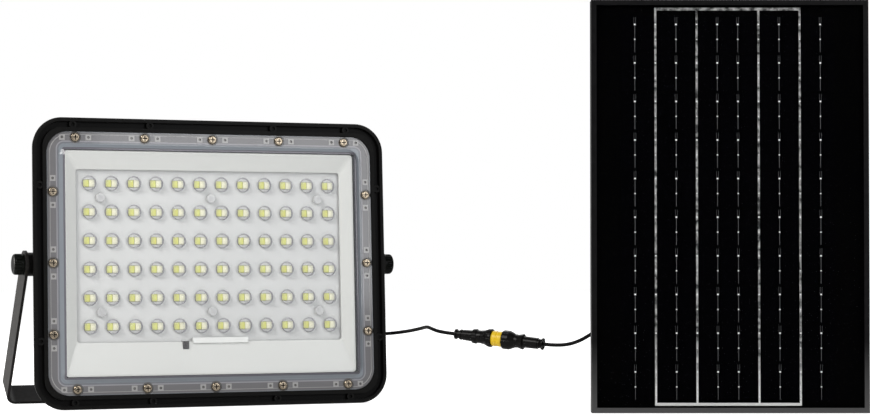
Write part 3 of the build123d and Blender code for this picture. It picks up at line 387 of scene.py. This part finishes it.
def addGrain(tree, shader, place, look):
    grain = tree.nodes.new("ShaderNodeGroup")
    grain.node_tree = grainGroup
    tree.links.new(place, grain.inputs["Vector"])
    grain.inputs["Colour"].default_value = (*look["colour"], 1)
    grain.inputs["Shade"].default_value = (*look["shade"], 1)
    grain.inputs["Patch"].default_value = look["patch"]
    grain.inputs["Grain"].default_value = look["grain"]
    grain.inputs["Rough Low"].default_value, grain.inputs["Rough High"].default_value = look["rough"]
    grain.inputs["Contrast"].default_value = look.get("contrast", 1.0)
    bump = tree.nodes.new("ShaderNodeBump")
    bump.inputs["Strength"].default_value = look["bump"]
    bump.inputs["Distance"].default_value = bumpDepth
    tree.links.new(grain.outputs["Height"], bump.inputs["Height"])
    tree.links.new(grain.outputs["Roughness"], shader.inputs["Roughness"])
    tree.links.new(bump.outputs[0], shader.inputs["Normal"])
    shader.inputs["Metallic"].default_value = look.get("metal", 0.0)
    shader.inputs["Specular IOR Level"].default_value = look.get("spec", 0.5)
    return grain.outputs["Colour"]


def paintedFinish(name, look):
    material, tree, shader, place = startMaterial(name)
    colour = addGrain(tree, shader, place, look)
    if "wear" in look:
        wear = tree.nodes.new("ShaderNodeGroup")
        wear.node_tree = wearGroup
        tree.links.new(place, wear.inputs["Vector"])
        wear.inputs["Scale"].default_value = look["patch"] * wearScale
        wear.inputs["Amount"].default_value = look["wear"]
        colour = blendColour(tree, wear.outputs["Mask"], colour, (*look["bare"], 1))
    if "low" in look:
        # lighter towards the floor, where the rails and ribbons catch light from below
        split = tree.nodes.new("ShaderNodeSeparateXYZ")
        tree.links.new(place, split.inputs[0])
        below = mathNode(tree, "SUBTRACT", look["lowTop"], split.outputs[2])
        near = mathNode(tree, "MULTIPLY", below, look.get("lowSpread", 1.0) / look["lowTop"], clamp=True)
        colour = blendColour(tree, near, colour, (*look["low"], 1))
    tree.links.new(colour, shader.inputs["Base Color"])
    return material


# Row coordinates turned into the lamp's own frame: X across, Y back, Z up its face.
def lampCoordinates(tree, place):
    mapping = tree.nodes.new("ShaderNodeMapping")
    mapping.vector_type = "TEXTURE"
    mapping.inputs["Location"].default_value = (lampSeat["x"], lampSeat["y"], lampSeat["z"])
    mapping.inputs["Rotation"].default_value = lampTurn.to_euler()
    tree.links.new(place, mapping.inputs["Vector"])
    return mapping.outputs[0]


inwardDimming = 0.9    # share of the clear parts' alpha that light on its way in does not meet
clearParts = {
    "clear_cover": dict(colour=(0.60, 0.63, 0.65), shade=(0.66, 0.68, 0.69), rough=(0.05, 0.1), patch=9, grain=500,
                        bump=0.02, facing=0.02, grazing=0.4, blend=0.3, bands=True),
    # the lens's darker grey at a grazing angle is painted shade: a dark ring round each dome
    "lens": dict(colour=(0.46, 0.46, 0.50), shade=(0.58, 0.58, 0.62), rough=(0.04, 0.09), patch=160, grain=900,
                 bump=0.02, facing=0.02, grazing=0.90, blend=0.40),
    "clear_peg": dict(colour=(0.78, 0.79, 0.79), shade=(0.52, 0.52, 0.53), rough=(0.08, 0.16), patch=420, grain=900,
                      bump=0.05, contrast=2.0, facing=0.72, grazing=0.97, blend=0.5),
    "panel_glass": dict(colour=(0.004, 0.004, 0.005), shade=(0.006, 0.006, 0.007), rough=(0.04, 0.08), patch=8,
                        grain=700, bump=0.01, spec=0.1, facing=0.01, grazing=0.3, blend=0.3),
}


# Clear plastic or glass: see-through face on, more surface colour at a grazing angle.
def clearFinish(name, look):
    material, tree, shader, place = startMaterial(name)
    colour = addGrain(tree, shader, place, look)
    layer = tree.nodes.new("ShaderNodeLayerWeight")
    layer.inputs["Blend"].default_value = look["blend"]
    spread = look["grazing"] - look["facing"]
    alpha = mathNode(tree, "MULTIPLY_ADD", layer.outputs["Facing"], spread)
    alpha.node.inputs[2].default_value = look["facing"]
    if "bands" in look:
        bands = tree.nodes.new("ShaderNodeGroup")
        bands.node_tree = bandGroup
        tree.links.new(lampCoordinates(tree, place), bands.inputs["Vector"])
        colour = blendColour(tree, bands.outputs["Mask"], colour, bands.outputs["Colour"])
        alpha = mathNode(tree, "MAXIMUM", alpha, bands.outputs["Mask"])
    # light on its way in is hardly dimmed
    rays = tree.nodes.new("ShaderNodeLightPath").outputs
    passing = mathNode(tree, "MAXIMUM", rays["Is Shadow Ray"], rays["Is Diffuse Ray"])
    kept = mathNode(tree, "SUBTRACT", 1.0, mathNode(tree, "MULTIPLY", passing, inwardDimming))
    alpha = mathNode(tree, "MULTIPLY", alpha, kept)
    tree.links.new(colour, shader.inputs["Base Color"])
    tree.links.new(alpha, shader.inputs["Alpha"])
    return material


# Black silicon with the faint printed fingers that cross each cell.
cellLook = dict(colour=(0.0004, 0.0004, 0.0006), shade=(0.0009, 0.0009, 0.0013), rough=(0.25, 0.34), patch=40,
                grain=900, bump=0.0, spec=0.0, fingerPitch=0.00155, fingerShare=0.09, fingerStrength=0.5,
                finger=(0.0035, 0.0035, 0.0042))


def cellFinish(look):
    material, tree, shader, place = startMaterial("cell")
    base = addGrain(tree, shader, place, look)
    split = tree.nodes.new("ShaderNodeSeparateXYZ")
    tree.links.new(place, split.inputs[0])
    fingers = mathNode(tree, "FRACT", mathNode(tree, "DIVIDE", split.outputs[2], look["fingerPitch"]))
    line = mathNode(tree, "LESS_THAN", fingers, look["fingerShare"])
    colour = blendColour(tree, mathNode(tree, "MULTIPLY", line, look["fingerStrength"]), base, (*look["finger"], 1))
    tree.links.new(colour, shader.inputs["Base Color"])
    return material


materials = {name: paintedFinish(name, look) for name, look in looks.items()}
materials.update({name: clearFinish(name, look) for name, look in clearParts.items()})
materials["cell"] = cellFinish(cellLook)
for name, node in nodes.items():
    node.data.materials.clear()
    node.data.materials.append(materials[slotOf[name]])
print("materials assigned", len(materials))


# leads: smooth cords along the same route points as the CAD tubes
leads = {
    "lampLead": dict(
        node="lamp_lead", body="lamp_head", diameter=0.0032, length=0.147,
        points=[(-0.0653, 0.0467, 0.0608), (-0.0469, 0.0541, 0.0605), (-0.0278, 0.0545, 0.0614),
                (-0.0113, 0.0445, 0.0640), (-0.0007, 0.0275, 0.0669), (0.0043, 0.0075, 0.0689),
                (0.0075, -0.0111, 0.0682), (0.0156, -0.0240, 0.0651), (0.0299, -0.0298, 0.0636)],
        exit=0, carries=("plug_cable_nut", "plug_body", "connector_seal", "coupling_ring"),
    ),
    "panelLead": dict(
        node="panel_lead", body="panel", diameter=0.0032, length=0.127,
        points=[(0.1064, -0.0608, 0.0557), (0.1195, -0.0661, 0.0543), (0.1353, -0.0721, 0.0575),
                (0.1497, -0.0787, 0.0666), (0.1643, -0.0881, 0.0756), (0.1783, -0.1007, 0.0832),
                (0.1867, -0.1137, 0.0960), (0.1877, -0.1173, 0.1140)],
        exit=-1, carries=("socket_body", "socket_cable_nut"),
    ),
}


def buildLead(name, plan):
    curve = bpy.data.curves.new(name, "CURVE")
    curve.dimensions = "3D"
    spline = curve.splines.new("NURBS")
    spline.points.add(len(plan["points"]) - 1)
    for point, place in zip(spline.points, plan["points"]):
        point.co = (*place, 1)
    spline.order_u = 3
    spline.use_endpoint_u = True
    curve.resolution_u = 16
    curve.bevel_depth = plan["diameter"] / 2
    curve.bevel_resolution = 6
    curve.use_fill_caps = True
    lead = bpy.data.objects.new(name, curve)
    scene.collection.objects.link(lead)
    curve.materials.append(materials["cable"])
    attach(lead, plan["body"])
    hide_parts(plan["node"])
    return lead


for name, plan in leads.items():
    buildLead(name, plan)
print("leads laid")


# solder points and printed busbars on the solar cells
cellField = dict(rows=10, pitch=0.03275, bottom=0.0097, offset=-0.0016, busbars=10, busbarPitch=0.0175,
                 ribbons=(1, 3, 6, 8), dotWidth=0.0013, dotHeight=0.0011, dotThick=0.00008, dotGap=0.0127,
                 dotLift=0.0022, lineWidth=0.00034, lineThick=0.00004, lineLow=-0.0150, lineHigh=0.0085,
                 forkHigh=0.0148, forkSpread=0.0008, forkWidth=0.00018, forkGap=0.0012,
                 dotSizes=((-1, 0.85), (1, 1.1)))


def finishPiece(bm, name, material, body):
    mesh = bpy.data.meshes.new(name)
    bm.normal_update()
    bm.to_mesh(mesh)
    bm.free()
    mesh.materials.append(materials[material])
    piece = bpy.data.objects.new(name, mesh)
    scene.collection.objects.link(piece)
    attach(piece, body)
    return piece


# Small block, seated in the row frame or by another matrix such as the lamp's.
def addPad(bm, centre, size, seat=Matrix()):
    bmesh.ops.create_cube(bm, size=1, matrix=seat @ Matrix.Translation(centre) @ Matrix.Diagonal((*size, 1)))


def buildCellPrint(plan):
    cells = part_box("solar_cells")
    left = panelMidX + plan["offset"] - (plan["busbars"] - 1) / 2 * plan["busbarPitch"]
    face = cells[0][1]
    lines, dots = bmesh.new(), bmesh.new()
    for busbar in range(plan["busbars"]):
        x = left + busbar * plan["busbarPitch"]
        ribbon = busbar in plan["ribbons"]
        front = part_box("cell_ribbons")[0][1] if ribbon else face
        for row in range(plan["rows"]):
            middle = plan["bottom"] + (row + 0.5) * plan["pitch"]
            for side, share in plan["dotSizes"]:
                place = (x, front - plan["dotThick"] / 2, middle + plan["dotLift"] + side * plan["dotGap"] / 2)
                addPad(dots, place, (plan["dotWidth"] * share, plan["dotThick"], plan["dotHeight"] * share))
            if ribbon:
                continue
            low, high = middle + plan["lineLow"], middle + plan["lineHigh"]
            level = face - plan["lineThick"] / 2
            addPad(lines, (x, level, (low + high) / 2), (plan["lineWidth"], plan["lineThick"], high - low))
            tip = middle + plan["forkHigh"]
            for side in (-1, 1):
                addPad(lines, (x + side * plan["forkSpread"], level, (high + tip + plan["forkGap"]) / 2),
                       (plan["forkWidth"], plan["lineThick"], tip - high - plan["forkGap"]))
    finishPiece(lines, "busbarLines", "busbarPrint", "panel")
    finishPiece(dots, "solderDots", "solder", "panel")


# dark carrier of each pair of phosphor pads, and dark crosses of painted shade in the screws' cross recesses
lampDetails = dict(
    ledPitch=(0.0201, 0.0252), ledCount=(12, 6), ledShift=0.0010, ledRise=0.0077,
    carrier=(0.0106, 0.0003, 0.0070), carrierBack=0.01345,
    screwInset=0.0173, screwPitch=0.062, recess=(0.0043, 0.0002, 0.00086), recessBack=0.00085,
)


def buildLampDetails(plan):
    carriers = bmesh.new()
    for column in range(plan["ledCount"][0]):
        for row in range(plan["ledCount"][1]):
            x = plan["ledShift"] + (column - (plan["ledCount"][0] - 1) / 2) * plan["ledPitch"][0]
            z = plan["ledRise"] + (row - (plan["ledCount"][1] - 1) / 2) * plan["ledPitch"][1]
            addPad(carriers, (x, plan["carrierBack"], z), plan["carrier"], lampToRow)
    finishPiece(carriers, "ledCarriers", "ledCarrier", "lamp_head")
    # dark crosses of painted shade in the screws' cross recesses
    shadeCrosses = bmesh.new()
    edgeX, edgeZ = lampHigh[0] - plan["screwInset"], lampHigh[1] - plan["screwInset"]
    places = [(step * plan["screwPitch"], side * edgeZ) for side in (-1, 1) for step in range(-2, 3)]
    places += [(side * edgeX, step * plan["screwPitch"]) for side in (-1, 1) for step in range(-1, 2)]
    wide, deep, high = plan["recess"]
    for x, z in places:
        addPad(shadeCrosses, (x, plan["recessBack"], z), (wide, deep, high), lampToRow)
        addPad(shadeCrosses, (x, plan["recessBack"], z), (high, deep, wide), lampToRow)
    finishPiece(shadeCrosses, "screwRecessShade", "recessDark", "lamp_head")


materials["ledCarrier"] = paintedFinish("ledCarrier", dict(
    colour=(0.10, 0.10, 0.06), shade=(0.16, 0.16, 0.10), rough=(0.4, 0.5), patch=300, grain=1500, bump=0.05))
# painted shade for the bottom of the screws' cross recesses
materials["recessDark"] = paintedFinish("recessDark", dict(
    colour=(0.010, 0.008, 0.006), shade=(0.02, 0.016, 0.012), rough=(0.5, 0.6), patch=300, grain=1500, bump=0.05,
    spec=0.1))
buildLampDetails(lampDetails)
print("lamp details placed")

# printed busbars and solder points, which stay bright where the ribbons carry painted glints in patches
materials["solder"] = paintedFinish("solder", dict(
    colour=(0.95, 0.95, 0.95), shade=(0.70, 0.70, 0.71), rough=(0.3, 0.4), patch=600, grain=2400, bump=0.1))
materials["busbarPrint"] = paintedFinish("busbarPrint", dict(
    colour=(0.16, 0.16, 0.165), shade=(0.09, 0.09, 0.095), rough=(0.4, 0.55), patch=400, grain=2400, bump=0.1,
    spec=0.2))
buildCellPrint(cellField)
print("cell print laid")
